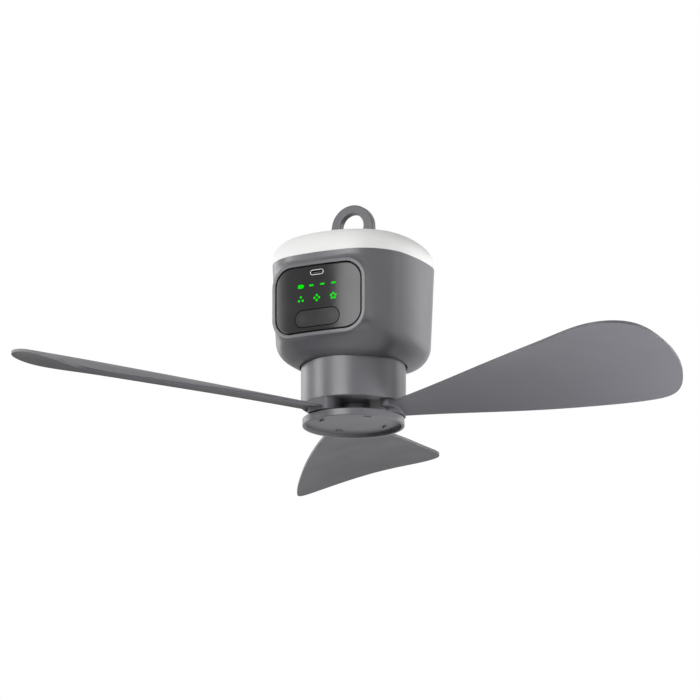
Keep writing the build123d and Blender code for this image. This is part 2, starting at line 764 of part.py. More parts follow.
# Lock cap: dished disc whose stem and two lugs turn inside the hub column
with BuildPart() as lock_cap:
    with BuildSketch(Plane.XY.offset(z_cap_low)):
        Circle(cap_r)
    extrude(amount=z_cap_top - z_cap_low)
    fillet(lock_cap.edges().filter_by(GeomType.CIRCLE), radius=0.5)
    with BuildSketch(Plane.XY.offset(z_cap_low)):
        Circle(cap_r - cap_rim)
    extrude(amount=cap_recess, mode=Mode.SUBTRACT)
    with BuildSketch(Plane.XY.offset(z_cap_top)):
        Circle(stem_r)
    extrude(amount=stem_top - z_cap_top)
    with BuildSketch(Plane.XY.offset(lug_low)):
        Circle(lug_r)
        add(wedges(lug_half_angle, 0), mode=Mode.INTERSECT)
    extrude(amount=stem_top - lug_low)
    with BuildSketch(Plane.XY.offset(z_cap_low + cap_recess)):
        with PolarLocations(0.672 * cap_r, 4, start_angle=52):
            Rectangle(1.2, 4.2)
    extrude(amount=-0.45 * cap_recess)
save(lock_cap, "lock_cap")
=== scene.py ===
import json
import logging
import math
from dataclasses import dataclass, field
from enum import Enum
from typing import Any

import bpy
import numpy as np
from bpy.types import Material, Mesh, Node, NodeSocket, NodeTree, Object
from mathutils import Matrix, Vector


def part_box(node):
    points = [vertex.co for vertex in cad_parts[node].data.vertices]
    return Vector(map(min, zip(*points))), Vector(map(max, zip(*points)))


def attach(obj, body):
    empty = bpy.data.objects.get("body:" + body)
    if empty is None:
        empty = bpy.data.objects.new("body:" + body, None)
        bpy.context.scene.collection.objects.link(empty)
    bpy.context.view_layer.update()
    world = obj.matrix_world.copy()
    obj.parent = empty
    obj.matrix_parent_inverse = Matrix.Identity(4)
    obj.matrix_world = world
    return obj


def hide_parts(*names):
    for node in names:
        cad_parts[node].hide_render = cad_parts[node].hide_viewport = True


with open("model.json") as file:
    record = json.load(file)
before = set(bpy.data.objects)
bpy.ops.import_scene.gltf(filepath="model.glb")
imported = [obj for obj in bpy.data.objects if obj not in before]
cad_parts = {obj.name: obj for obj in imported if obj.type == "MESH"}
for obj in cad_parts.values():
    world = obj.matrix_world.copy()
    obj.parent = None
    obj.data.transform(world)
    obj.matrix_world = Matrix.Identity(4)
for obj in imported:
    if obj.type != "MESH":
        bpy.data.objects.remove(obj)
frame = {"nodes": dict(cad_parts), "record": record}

LOG = logging.getLogger("fan")
MM = 0.001
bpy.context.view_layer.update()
PHOTO_PIXELS = 700
SHARP_DEGREES = 38.0  # wider angles between faces stay sharp
SEARCH_ROUNDS = 40  # halvings of a span, enough to place a point on a surface
SLOTS: dict[str, str] = {row["node"]: row["material_slot"] for row in frame["record"]["subparts"]}
Palette = dict[str, Material]
Array = np.ndarray


def linear(code: str) -> tuple[float, float, float, float]:
    """Turns an sRGB hex colour into linear light.

    Args:
        code: six hex digits, with or without a leading hash.

    Returns:
        Red, green, blue and an alpha of one.
    """
    digits = code.lstrip("#")
    shares = [int(digits[n:n + 2], 16) / 255 for n in (0, 2, 4)]
    light = [s / 12.92 if s <= 0.04045 else ((s + 0.055) / 1.055) ** 2.4 for s in shares]
    return (light[0], light[1], light[2], 1.0)


def add(tree: NodeTree, kind: str, links: dict[Any, Any] | None = None,
        settings: dict[str, Any] | None = None) -> Node:
    """Adds one node with its settings and the values or links of its inputs.

    Args:
        tree: the tree that gets the node.
        kind: Blender's own name for the node.
        links: for each input, by name or number, a plain value or the socket that feeds it.
        settings: attributes of the node itself.

    Returns:
        The new node.
    """
    node = tree.nodes.new(kind)
    for key, value in (settings or {}).items():
        setattr(node, key, value)
    for key, value in (links or {}).items():
        if isinstance(value, NodeSocket):
            tree.links.new(value, node.inputs[key])
        else:
            node.inputs[key].default_value = value
    return node


@dataclass(frozen=True)
class Finish:
    """A surface as it was made: its colours, gloss and fine texture.

    Attributes:
        title: what the material is and how its surface was made.
        colour: the main colour as an sRGB hex value.
        drift: a second colour that it wanders towards, in soft patches.
        patch_mm: width of those patches.
        roughness: middle of the roughness, which wanders by rough_spread.
        grain_mm: width of the grain, no finer than shows in the render.
        grain_um: height of the grain in micrometres.
        metallic: 1 for a bare metal.
        ior: index of refraction.
        patch_detail: finer layers in the patches, and grain_detail in the grain.
        haze_share: width of the roughness patches, as a share of patch_mm.
        noise_span: between which values most of the noise lies.
    """

    title: str
    colour: str
    drift: str
    patch_mm: float = 30.0
    roughness: float = 0.3
    rough_spread: float = 0.05
    grain_mm: float = 0.6
    grain_um: float = 6.0
    metallic: float = 0.0
    ior: float = 1.5
    patch_detail: float = 3.0
    grain_detail: float = 2.0
    haze_share: float = 0.6
    noise_span: tuple[float, float] = (0.3, 0.7)

    def colour_socket(self, tree: NodeTree, place: NodeSocket) -> NodeSocket:
        """Gives the colour as soft patches between the two tones.

        Args:
            tree: the material's tree.
            place: the Object coordinates.

        Returns:
            The socket that carries the colour.
        """
        patches = add(tree, "ShaderNodeTexNoise", {"Vector": place, "Scale": 1 / (self.patch_mm * MM),
                                                   "Detail": self.patch_detail})
        tone = add(tree, "ShaderNodeMix", {"Factor": patches.outputs["Fac"], "A": linear(self.colour),
                                           "B": linear(self.drift)}, {"data_type": "RGBA"})
        return tone.outputs["Result"]

    def extra(self, tree: NodeTree, shader: Node, place: NodeSocket) -> None:
        """Adds what only one finish has, and is empty for a plain one."""

    def build(self) -> Material:
        """Makes the material's nodes.

        Returns:
            The material, ready to assign.
        """
        material = bpy.data.materials.new(self.title)
        material.use_nodes = True
        tree = material.node_tree
        tree.nodes.clear()
        place = add(tree, "ShaderNodeTexCoord").outputs["Object"]
        grain = add(tree, "ShaderNodeTexNoise", {"Vector": place, "Scale": 1 / (self.grain_mm * MM),
                                                 "Detail": self.grain_detail})
        bump = add(tree, "ShaderNodeBump", {"Height": grain.outputs["Fac"], "Strength": 1.0,
                                            "Distance": self.grain_um * MM * MM})
        haze = add(tree, "ShaderNodeTexNoise", {"Vector": place,
                                                "Scale": 1 / (self.haze_share * self.patch_mm * MM)})
        least, most = self.noise_span
        rough = add(tree, "ShaderNodeMapRange", {
            "Value": haze.outputs["Fac"], "From Min": least, "From Max": most,
            "To Min": self.roughness - self.rough_spread, "To Max": self.roughness + self.rough_spread})
        shader = add(tree, "ShaderNodeBsdfPrincipled", {
            "Base Color": self.colour_socket(tree, place), "Roughness": rough.outputs["Result"],
            "Normal": bump.outputs["Normal"], "Metallic": self.metallic, "IOR": self.ior})
        self.extra(tree, shader, place)
        add(tree, "ShaderNodeOutputMaterial", {"Surface": shader.outputs["BSDF"]})
        return material


@dataclass(frozen=True)
class LitSign(Finish):
    """A light guide with a lit lamp behind it: it glows in its own colour.

    Attributes:
        lit: colour of the light.
        glow: strength of the light.
    """

    lit: str = "00F000"
    glow: float = 1.0

    def extra(self, tree: NodeTree, shader: Node, place: NodeSocket) -> None:
        """Lets the light guide shine in its lit colour, and mirror nothing."""
        for name, value in (("Emission Color", linear(self.lit)), ("Emission Strength", self.glow),
                            ("Specular IOR Level", 0.0)):
            shader.inputs[name].default_value = value


@dataclass(frozen=True)
class MarkedKey(Finish):
    """A satin key with a faint round mark near each end.

    Attributes:
        mark_x_mm: how far each mark is from the key's middle.
        mark_z_mm: height of the marks in the frame.
        mark_r_mm: radius of a mark.
        mark: colour of the marks.
        core: share of a mark's radius that has its full colour.
    """

    mark_x_mm: float = 9.9
    mark_z_mm: float = -66.6
    mark_r_mm: float = 2.5
    mark: str = "222223"
    core: float = 0.8

    def colour_socket(self, tree: NodeTree, place: NodeSocket) -> NodeSocket:
        """Lays the two marks over the plain colour.

        Args:
            tree: the material's tree.
            place: the Object coordinates.

        Returns:
            The socket that carries the colour.
        """
        plain = Finish.colour_socket(self, tree, place)
        split = add(tree, "ShaderNodeSeparateXYZ", {"Vector": place}).outputs
        side = add(tree, "ShaderNodeMath", {0: split["X"]}, {"operation": "ABSOLUTE"}).outputs[0]
        spot = add(tree, "ShaderNodeCombineXYZ", {"X": side, "Z": split["Z"]}).outputs[0]
        middle = (self.mark_x_mm * MM, 0.0, self.mark_z_mm * MM)
        away = add(tree, "ShaderNodeVectorMath", {0: spot, 1: middle}, {"operation": "DISTANCE"})
        inside = add(tree, "ShaderNodeMapRange", {"Value": away.outputs["Value"],
                                                  "From Min": self.mark_r_mm * MM,
                                                  "From Max": self.core * self.mark_r_mm * MM})
        tone = add(tree, "ShaderNodeMix", {"Factor": inside.outputs["Result"], "A": plain,
                                           "B": linear(self.mark)}, {"data_type": "RGBA"})
        return tone.outputs["Result"]


@dataclass(frozen=True)
class SocketSteelPaintedShade(Finish):
    """A drawn steel shell with painted shade inside: plain steel on its front edge, then a dark colour for
    the shade deep in the socket.

    Attributes:
        edge_mm: how deep the bright edge reaches before the painted shade is full.
        bright: share of that depth that is bright all through, before the painted shade begins.
        inside: colour of the painted shade inside the socket, where no light gets in.
    """

    edge_mm: float = 0.25
    bright: float = 0.6
    # painted shade: the dark colour that stands for the socket's unlit inside
    inside: str = "0C0C0D"

    def colour_socket(self, tree: NodeTree, place: NodeSocket) -> NodeSocket:
        """Paints shade into the colour: turns the plain colour dark behind the front edge.

        Args:
            tree: the material's tree.
            place: the Object coordinates.

        Returns:
            The socket that carries the colour.
        """
        plain = Finish.colour_socket(self, tree, place)
        split = add(tree, "ShaderNodeSeparateXYZ", {"Vector": place}).outputs
        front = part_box("usb_shell")[0].y
        # painted shade: past the front edge the colour fades to the dark inside colour, standing in for the
        # shade in the socket
        deep = add(tree, "ShaderNodeMapRange", {"Value": split["Y"],
                                                "From Min": front + self.bright * self.edge_mm * MM,
                                                "From Max": front + self.edge_mm * MM})
        tone = add(tree, "ShaderNodeMix", {"Factor": deep.outputs["Result"], "A": plain,
                                           "B": linear(self.inside)}, {"data_type": "RGBA"})
        return tone.outputs["Result"]


FINISHES: dict[str, Finish] = {
    # ABS moulded in a fine spark-eroded tool: an even mid grey with a soft satin shine
    "housing_grey": Finish("abs_moulded_grey", "606064", "5C5C60", patch_mm=35, roughness=0.34,
                           rough_spread=0.03, grain_mm=0.8, grain_um=2),
    # The same plastic from a coarser tool: a slightly deeper grey with a broad, dull shine
    "blade_grey": Finish("abs_moulded_blade_grey", "545459", "505055", patch_mm=60, roughness=0.5,
                         rough_spread=0.04, grain_mm=0.8, grain_um=3, ior=1.48),
    # Polycarbonate with a frosted diffuser filler: a clean white that scatters light
    "lamp_white": Finish("polycarbonate_frosted_white", "EEEEED", "E6E6E5", roughness=0.5, grain_mm=0.8,
                         grain_um=3),
    # Polycarbonate tinted black and moulded in a polished tool: deep, with broad soft reflections
    "panel_black": Finish("polycarbonate_smoked_gloss", "121213", "0F0F10", patch_mm=25, roughness=0.16,
                          rough_spread=0.02, grain_mm=1.2, grain_um=0.3, ior=1.4),
    # The same tint with a satin surface: the key looks duller than the panel round it
    "key_black": MarkedKey("polycarbonate_satin_black", "151516", "121213", patch_mm=15, rough_spread=0.03,
                           grain_mm=0.8, grain_um=1, ior=1.36),
    # Acrylic light guide with a green lamp behind it: only its own light is seen
    "light_green": LitSign("acrylic_light_guide_green", "021002", "020C02", patch_mm=2, roughness=0.5,
                           rough_spread=0.03, grain_mm=0.8, grain_um=0.5, ior=1.2),
    # Steel with a bright plating: pale grey metal with clear highlights
    "steel": Finish("steel_bright_plated", "D6D6D8", "C8C8CB", patch_mm=4, roughness=0.26,
                    rough_spread=0.06, grain_um=1.5, metallic=1),
    # Turned aluminium: a softer, slightly blue metal
    "aluminium": Finish("aluminium_turned", "C9CBCD", "BABCBF", patch_mm=6, roughness=0.35,
                        rough_spread=0.06, grain_um=2, metallic=1),
    # Copper wire in clear enamel: warm red brown with a wet shine
    "copper": Finish("copper_wire_enamelled", "B5713F", "9C5A2E", patch_mm=3, grain_um=8, metallic=1),
    # Sheet steel stack under a dark coating: a dull blue grey
    "core_steel": Finish("steel_stack_coated", "4A4F57", "41464D", patch_mm=5, roughness=0.45, grain_um=3,
                         metallic=0.6),
    # Magnets plated with nickel: darker and smoother than the steel
    "magnet": Finish("magnet_nickel_plated", "8C8C8F", "7E7E82", patch_mm=5, grain_um=1.5, metallic=1),
    # Solder mask over a printed board: dark green and glossy
    "board_green": Finish("board_solder_mask_green", "10502A", "0C4222", patch_mm=4, grain_um=2),
    # White solder mask of a lamp board: bright and slightly glossy
    "board_white": Finish("board_solder_mask_white", "F1F1EE", "E8E8E4", patch_mm=5, roughness=0.35,
                          grain_um=2),
    # Phosphor over a lamp chip: a soft yellow
    "lamp_chip": Finish("lamp_chip_phosphor", "F2D64A", "EAC93A", patch_mm=1, roughness=0.4, grain_um=1),
    # Epoxy moulded round board parts: dull black
    "part_black": Finish("epoxy_moulded_black", "1E1E1F", "262627", patch_mm=3, roughness=0.5, grain_um=3),
    # Film shrunk on the cells: blue with a smooth shine
    "cell_wrap": Finish("cell_wrap_shrunk_film", "2F6EA8", "2A6398", patch_mm=12, grain_mm=0.8, grain_um=2),
    # ABS moulded in black: an even, dull black
    "tray_black": Finish("abs_moulded_black", "242425", "2A2A2B", patch_mm=15, roughness=0.5, grain_mm=0.8,
                         grain_um=5),
}
# Steel drawn into a shell: a bright edge in front and painted shade inside, where light doesn't reach
SOCKET_STEEL_PAINTED_SHADE = SocketSteelPaintedShade("steel_socket_shell_painted_shade", "E4E4E6", "DADADD", patch_mm=4, roughness=0.22,
                           grain_um=1.5, metallic=1)
# Thin gold over nickel on the socket's contacts: a warm bright metal
CONTACT_GOLD = Finish("gold_plated_contact", "E2B65A", "D6A84C", patch_mm=2, roughness=0.25,
                      rough_spread=0.04, grain_um=1, metallic=1)


def place_piece(name: str, mesh: Mesh, material: Material) -> Object:
    """Puts a finished mesh into the scene, smooth but for its sharp edges.

    Args:
        name: the piece's name.
        mesh: its mesh, with its place in it.
        material: the finish of all of it.

    Returns:
        The new object.
    """
    mesh.materials.clear()
    mesh.materials.append(material)
    mesh.polygons.foreach_set("material_index", [0] * len(mesh.polygons))
    mesh.shade_smooth()
    mesh.set_sharp_from_angle(angle=math.radians(SHARP_DEGREES))
    piece = bpy.data.objects.new(name, mesh)
    bpy.context.scene.collection.objects.link(piece)
    LOG.info("made %s with %d faces", name, len(mesh.polygons))
    return piece


def evaluated(piece: Object) -> Mesh:
    """Turns a piece with modifiers into a plain mesh, and removes the piece.

    Args:
        piece: the object, which is in the scene.

    Returns:
        Its mesh with the modifiers applied.
    """
    graph = bpy.context.evaluated_depsgraph_get()
    mesh = bpy.data.meshes.new_from_object(piece.evaluated_get(graph))
    bpy.data.objects.remove(piece)
    return mesh


class NodesPiece:
    """A Geometry Nodes tree with named inputs, and the piece that it makes."""

    def __init__(self, name: str, inputs: dict[str, tuple[str, Any]]) -> None:
        """Makes the tree and its inputs.

        Args:
            name: the piece's name.
            inputs: for each input's name its kind of socket and its value.
        """
        self.name, self.inputs = name, inputs
        self.tree = bpy.data.node_groups.new(name, "GeometryNodeTree")
        self.sockets = {}
        for title, (kind, _) in inputs.items():
            made = self.tree.interface.new_socket(title, in_out="INPUT", socket_type=kind)
            self.sockets[title] = made.identifier
        self.tree.interface.new_socket("Geometry", in_out="OUTPUT", socket_type="NodeSocketGeometry")
        self.given = add(self.tree, "NodeGroupInput").outputs

    def __getitem__(self, title: str) -> NodeSocket:
        """Gives the socket of one named input."""
        return self.given[title]

    def add(self, kind: str, links: dict[Any, Any] | None = None,
            settings: dict[str, Any] | None = None) -> Node:
        """Adds one node to this tree."""
        return add(self.tree, kind, links, settings)

    def finish(self, shape: NodeSocket) -> Object:
        """Ends the tree, sets its inputs and turns its result into a plain mesh.

        Args:
            shape: the socket with the finished instances.

        Returns:
            The piece.
        """
        real = self.add("GeometryNodeRealizeInstances", {"Geometry": shape})
        dressed = self.add("GeometryNodeSetMaterial", {"Geometry": real.outputs[0],
                                                       "Material": self["Finish"]})
        add(self.tree, "NodeGroupOutput", {"Geometry": dressed.outputs[0]})
        blank = bpy.data.objects.new(self.name, bpy.data.meshes.new(self.name))
        modifier = blank.modifiers.new("made", "NODES")
        modifier.node_group = self.tree
        for title, (_, value) in self.inputs.items():
            modifier[self.sockets[title]] = value
        bpy.context.scene.collection.objects.link(blank)
        mesh = evaluated(blank)
        return place_piece(self.name, mesh, self.inputs["Finish"][1])


@dataclass
class SubAssembly:
    """CAD nodes that belong together, dressed in the finishes that the record names."""

    nodes: tuple[str, ...] = ()

    def dress(self, palette: Palette) -> None:
        """Gives each node its finish.

        Args:
            palette: the materials by slot.
        """
        for node in self.nodes:
            mesh = frame["nodes"][node].data
            mesh.materials.clear()
            mesh.materials.append(palette[SLOTS[node]])
            LOG.info("dressed %s in %s", node, SLOTS[node])

    def build(self, palette: Palette) -> None:
        """Makes the pieces that Blender adds, none for a plain sub-assembly."""


@dataclass
class Housing(SubAssembly):
    """The moulded barrel, whose raised panel surround grows out of it in one smooth sweep.

    Lengths are in millimetres. Distances to a surface are positive outside it.

    Attributes:
        corner_out: how much farther the corners reach than the sides, which are arcs of side_radius.
        draft: degrees of taper towards the foot, whose rounding has the radius foot.
        wall: thickness of the wall, with neck_gap round the turning neck.
        rim: width of the surround's rim, which stands rim_proud before the panel.
        rim_round: radius of the rim's outer edge, and rim_inner_round of its inner one.
        rim_flare: how much the rim's flank widens, and rim_lean how much its front falls back.
        panel_corner: radius of the panel's corners, and panel_crown of its curved front.
        panel_gap: gap round the panel, over a ledge that is ledge_thick deep.
        sweep_share: width of the sweep against the surround's height, from sweep_least to sweep_most.
        run_out: how far the surround runs on past end_share of its sweep.
        lift: how far it lies over the barrel, and sink how deep its end dips, from sink_from on.
        column_step: degrees between the barrel's columns.
        row_step: distance of its rows, also round the foot, whose bend is foot_bend radii long.
        loop_step: distance of points along the panel's outline.
        round_rings: rings on a rounded edge, and flank_rings, flank_step apart, down the flank.
        sweep_rings: rings on the sweep, closer at the flank by the power sweep_crowding.
        reach_back: end of the search for the front, in half widths, and reach_out its start.
        cut_back: start of the cut for the panel, in half widths.
    """

    nodes: tuple[str, ...] = ("housing",)
    corner_out: float = 4.6
    side_radius: float = 120.0
    draft: float = 2.5
    wall: float = 2.2
    foot: float = 14.0
    neck_gap: float = 0.9
    rim: float = 2.9
    rim_proud: float = 0.3
    rim_round: float = 0.6
    rim_inner_round: float = 0.3
    rim_flare: float = 0.08
    rim_lean: float = 0.06
    panel_corner: float = 10.6
    panel_crown: float = 200.0
    panel_gap: float = 0.45
    ledge: float = 0.9
    ledge_thick: float = 2.2
    sweep_share: float = 1.1
    sweep_least: float = 1.5
    sweep_most: float = 9.0
    run_out: float = 1.2
    sink: float = 0.12
    sink_from: float = 0.72
    lift: float = 0.004
    end_share: float = 1.1
    column_step: float = 0.6
    row_step: float = 1.5
    foot_bend: float = 1.5
    loop_step: float = 0.6
    round_rings: int = 7
    flank_step: float = 0.02
    flank_rings: int = 21
    sweep_rings: int = 19
    sweep_crowding: float = 1.4
    reach_back: float = 0.3
    reach_out: float = 1.3
    cut_back: float = 0.6

    def __post_init__(self) -> None:
        """Reads the sizes that the frame gives."""
        low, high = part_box("housing")
        self.half, self.seam, self.lip = high.x / MM, high.z / MM, low.z / MM
        low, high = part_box("control_panel")
        self.panel_w, self.panel_h = (high.x - low.x) / MM, (high.z - low.z) / MM
        self.panel_z, self.panel_front = (high.z + low.z) / 2 / MM, -low.y / MM
        self.panel_back = -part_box("key_lugs")[0].y / MM
        self.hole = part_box("rotor_drum")[1].x / MM + self.neck_gap
        self.foot_z = self.lip + self.foot

    def build(self, palette: Palette) -> None:
        """Makes barrel and surround, which together stand for the housing.

        Args:
            palette: the materials by slot.
        """
        for name, mesh in (("housing_barrel", self.barrel()), ("housing_surround", self.surround())):
            piece = place_piece(name, mesh, palette["housing_grey"])
            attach(piece, "housing")
            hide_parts("housing")

    def plan_distance(self, x: Array, y: Array) -> Array:
        """Measures from the outline at the seam: four wide side arcs joined by four corner arcs.

        Args:
            x: places across.
            y: places along the depth.

        Returns:
            The distances.
        """
        far, near = np.maximum(abs(x), abs(y)), np.minimum(abs(x), abs(y))
        side, half, reach = self.side_radius, self.half, self.half + self.corner_out
        gap_far, gap_near = side - half, side - reach
        run = (gap_near**2 - gap_far**2) / (math.sqrt(2) * gap_far - 2 * gap_near)
        mid = run / math.sqrt(2)
        at_corner = (near - mid) * (mid - half + side) > mid * (far - mid)
        corner = np.hypot(far - mid, near - mid) - (reach - run)
        return np.where(at_corner, corner, np.hypot(far - half + side, near) - side)

    @staticmethod
    def rounded_meet(a: Array, b: Array, radius: float) -> Array:
        """Joins the distances from two surfaces into that from both, with their edge rounded.

        Args:
            a: distances from one surface.
            b: distances from the other.
            radius: how round the edge is.

        Returns:
            The joined distances.
        """
        a, b = a + radius, b + radius
        return np.minimum(np.maximum(a, b), 0) + np.hypot(np.maximum(a, 0), np.maximum(b, 0)) - radius

    def barrel_distance(self, x: Array, y: Array, z: Array) -> Array:
        """Measures from the tapered barrel with its rounded foot.

        Args:
            x: places across.
            y: places along the depth.
            z: heights.

        Returns:
            The distances.
        """
        taper = (self.seam - z) * math.tan(math.radians(self.draft))
        return self.rounded_meet(self.plan_distance(x, y) + taper, self.lip - z, self.foot)

    def proud_front(self, x: Array) -> Array:
        """Gives the depth of the surround's crowned front at each place across."""
        return self.panel_crown - self.panel_front - self.rim_proud - np.sqrt(self.panel_crown**2 - x**2)

    def shell_distance(self, x: Array, y: Array, z: Array) -> Array:
        """Measures from barrel and surround, joined by a sweep as wide as the surround stands proud.

        Args:
            x: places across.
            y: places along the depth.
            z: heights.

        Returns:
            The distances.
        """
        corner = self.panel_corner + self.rim
        half_w, half_h = self.panel_w / 2 + self.rim, self.panel_h / 2 + self.rim
        across, up = abs(x) - half_w + corner, abs(z - self.panel_z) - half_h + corner
        outside = np.hypot(np.maximum(across, 0), np.maximum(up, 0))
        flank = outside + np.minimum(np.maximum(across, up), 0) - corner
        face = self.proud_front(x) + self.rim_lean * np.maximum(flank + self.rim - self.panel_gap, 0) - y
        barrel = self.barrel_distance(x, y, z)
        on_x, on_z = np.clip(x, -half_w, half_w), np.clip(z, self.panel_z - half_h, self.panel_z + half_h)
        proud = self.proud(on_x, on_z)
        raised = self.rounded_meet(flank - self.rim_flare * np.clip(-face, 0, proud), face, self.rim_round)
        sweep = self.sweep(proud)
        share = np.maximum(sweep - abs(barrel - raised), 0) / sweep
        return np.minimum(barrel, raised) - share**2 * sweep / 4

    def proud(self, x: Array, z: Array) -> Array:
        """Gives how far the surround's front stands out from the barrel.

        Args:
            x: places across.
            z: heights.

        Returns:
            The distances.
        """
        return np.maximum(self.barrel_distance(x, self.proud_front(x), z), 0)

    def sweep(self, proud: Array) -> Array:
        """Gives the width of the sweep beside a place that stands out this far."""
        return np.clip(self.sweep_share * proud, self.sweep_least, self.sweep_most)

    def barrel(self) -> Mesh:
        """Makes the barrel as a closed wall, with the opening for the panel cut out.

        Returns:
            The mesh.
        """
        turn = np.radians(np.arange(0, 360, self.column_step))
        edge = np.full_like(turn, self.half + self.corner_out)
        level = np.full_like(turn, self.foot_z)
        for _ in range(SEARCH_ROUNDS):
            edge -= self.barrel_distance(edge * np.sin(turn), -edge * np.cos(turn), level)
        centre = edge - self.foot
        inward = self.hole - centre
        drop = np.where(inward > 0, np.sqrt(np.maximum(self.foot**2 - inward**2, 0)), self.foot)
        last = np.arctan2(drop, inward)
        heights = np.linspace(self.seam, self.foot_z, round((self.seam - self.foot_z) / self.row_step))
        bends = np.linspace(0, 1, round(self.foot_bend * self.foot / self.row_step) + 1)[1:]
        rows = [(height, 0.0) for height in heights] + [(self.foot_z, bend) for bend in bends]
        outer, inner = [], []
        for height, bend in rows:
            for inset, walls in ((0.0, outer), (self.wall, inner)):
                near, far = np.zeros_like(turn), np.full_like(turn, 2 * self.foot)
                for _ in range(SEARCH_ROUNDS):
                    middle = (near + far) / 2
                    r, z = centre + middle * np.cos(bend * last), height - middle * np.sin(bend * last)
                    inside = self.barrel_distance(r * np.sin(turn), -r * np.cos(turn), z) < -inset
                    near, far = np.where(inside, middle, near), np.where(inside, far, middle)
                if bend == 1.0:
                    r = np.full_like(turn, self.hole)
                walls.append(np.stack((r * np.sin(turn), -r * np.cos(turn), z), axis=1))
        points = np.concatenate(outer + inner[::-1]) * MM
        count, loops = len(turn), 2 * len(rows)
        faces = [(j * count + i, (j + 1) % loops * count + i, (j + 1) % loops * count + (i + 1) % count,
                  j * count + (i + 1) % count) for j in range(loops) for i in range(count)]
        mesh = bpy.data.meshes.new("housing_barrel")
        mesh.from_pydata(points.tolist(), [], faces)
        blank = bpy.data.objects.new("barrel_blank", mesh)
        cutter = bpy.data.objects.new("panel_cutter", self.opening())
        for thing in (blank, cutter):
            bpy.context.scene.collection.objects.link(thing)
        cut = blank.modifiers.new("opening", "BOOLEAN")
        cut.operation, cut.solver, cut.object = "DIFFERENCE", "EXACT", cutter
        finished = evaluated(blank)
        bpy.data.objects.remove(cutter)
        return finished

    def outline(self, offset: float) -> tuple[Array, Array]:
        """Walks round the panel's outline, counter-clockwise as seen from in front.

        Args:
            offset: how far outside the panel's own edge.

        Returns:
            Places across and heights.
        """
        corner = self.panel_corner + offset
        steps = round(math.pi / 2 * self.panel_corner / self.loop_step)
        lengths = [size - 2 * self.panel_corner for size in (self.panel_h, self.panel_w)]
        runs = [round(length / self.loop_step) for length in lengths]
        x, z = [], []
        for quarter, (sx, sz) in enumerate(((1, 1), (-1, 1), (-1, -1), (1, -1))):
            mid_x = sx * (self.panel_w / 2 - self.panel_corner)
            mid_z = sz * (self.panel_h / 2 - self.panel_corner)
            angles = np.radians(90 * quarter + np.linspace(0, 90, steps + 1))
            x += list(mid_x + corner * np.cos(angles))
            z += list(mid_z + corner * np.sin(angles))
            count = runs[(quarter + 1) % 2]
            across, up = math.cos(angles[-1]), math.sin(angles[-1])
            length = lengths[(quarter + 1) % 2]
            for n in range(1, count):
                x.append(mid_x + corner * across - up * length * n / count)
                z.append(mid_z + corner * up + across * length * n / count)
        return np.array(x), np.array(z) + self.panel_z

    def level_loop(self, offset: float, y: float) -> Array:
        """Gives the panel's outline, so far outside its edge, as points at one depth."""
        x, z = self.outline(offset)
        return np.stack((x, np.full_like(x, y), z), axis=1)

    def ring_mesh(self, name: str, loops: list[Array], closed: bool) -> Mesh:
        """Makes a mesh from loops of points.

        Args:
            name: the mesh's name.
            loops: loops of as many points each, in order.
            closed: whether the last loop joins the first, or both ends get a cap.

        Returns:
            The mesh.
        """
        count, rings = len(loops[0]), len(loops)
        bands = rings if closed else rings - 1
        faces = [(j * count + i, j * count + (i + 1) % count, (j + 1) % rings * count + (i + 1) % count,
                  (j + 1) % rings * count + i) for j in range(bands) for i in range(count)]
        if not closed:
            faces += [tuple(range(count))[::-1], tuple((rings - 1) * count + i for i in range(count))]
        mesh = bpy.data.meshes.new(name)
        mesh.from_pydata((np.concatenate(loops) * MM).tolist(), [], faces)
        return mesh

    def opening(self) -> Mesh:
        """Makes the stepped block that is cut out of the barrel for the panel and its ledge.

        Returns:
            The mesh.
        """
        steps = ((-self.ledge, -self.cut_back * self.half), (-self.ledge, -self.panel_back),
                 (self.panel_gap, -self.panel_back), (self.panel_gap, -self.reach_out * self.half))
        return self.ring_mesh("panel_cutter", [self.level_loop(*step) for step in steps], False)

    def surround(self) -> Mesh:
        """Makes the raised rim round the panel and the sweep that runs out on the barrel.

        Returns:
            The mesh.
        """
        steps = ((-self.ledge, self.ledge_thick - self.panel_back), (-self.ledge, -self.panel_back),
                 (self.panel_gap, -self.panel_back))
        loops = [self.level_loop(*step) for step in steps]
        edge_x, edge_z = self.outline(self.rim)
        proud = self.proud(edge_x, edge_z)
        end = self.end_share * self.sweep(proud) + self.rim_flare * proud + self.run_out
        turn = np.radians(np.linspace(0, 90, self.round_rings))
        inner_edge = list(self.panel_gap + self.rim_inner_round * (1 - np.cos(turn)))
        rim = list(self.rim - self.rim_round * (1 - np.sin(turn)))
        flank = [self.rim + self.flank_step * n for n in range(self.flank_rings)]
        for offset in inner_edge + rim + flank:
            x, z = self.outline(offset)
            y = self.front_depth(x, z)
            inside = self.panel_gap + self.rim_inner_round - offset
            if inside > 0:
                y = y + self.rim_inner_round - math.sqrt(max(self.rim_inner_round**2 - inside**2, 0))
            loops.append(np.stack((x, y, z), axis=1))
        last = flank[-1]
        base_x, base_z = self.outline(last)
        way_x, way_z = (a - b for a, b in zip(self.outline(last + 1), (base_x, base_z)))
        for share in np.linspace(0, 1, self.sweep_rings)[1:] ** self.sweep_crowding:
            x, z = base_x + way_x * share * end, base_z + way_z * share * end
            sunk = self.sink * (max(share - self.sink_from, 0) / (1 - self.sink_from)) ** 2 - self.lift
            loops.append(np.stack((x, self.front_depth(x, z) + sunk, z), axis=1))
        return self.ring_mesh("housing_surround", loops[::-1], True)

